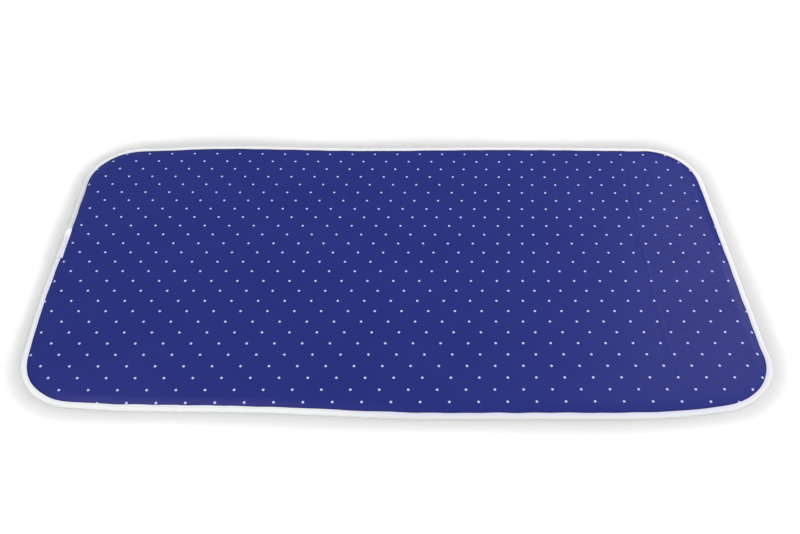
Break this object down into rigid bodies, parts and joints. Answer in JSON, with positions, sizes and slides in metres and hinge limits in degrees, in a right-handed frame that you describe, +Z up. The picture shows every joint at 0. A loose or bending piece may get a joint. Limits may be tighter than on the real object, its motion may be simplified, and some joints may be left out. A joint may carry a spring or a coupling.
{
  "type": "ironing pad",
  "caption": "Flat padded ironing mat with rounded corners: a dotted cotton cover over foam, reflecting film, felt and a non-woven backing, sewn together in a folded white edge binding.",
  "frame": {"origin": "middle of the flat underside, on the surface that the pad lies on", "axes": "+X along the pad's length (right in the picture), +Y away from the person who irons, +Z up out of the ironing face"},
  "size_m": [1.3017, 0.6587, 0.0066],
  "materials": {
    "top_cover": "matt blue woven cotton with small white pin dots",
    "foam_layer": "open-cell foam",
    "reflective_film": "metallised film, satin",
    "felt_layer": "needled felt",
    "backing": "spun-bonded non-woven with small bond points",
    "edge_binding": "white woven bias tape",
    "needle_thread": "white sewing thread",
    "bobbin_thread": "white sewing thread"
  },
  "bodies": {
    "root": {"top_cover": "top_cover", "foam_layer": "foam_layer", "reflective_film": "reflective_film", "felt_layer": "felt_layer", "backing": "backing", "edge_binding": "edge_binding", "needle_thread": "needle_thread", "bobbin_thread": "bobbin_thread"}
  },
  "joints": []
}
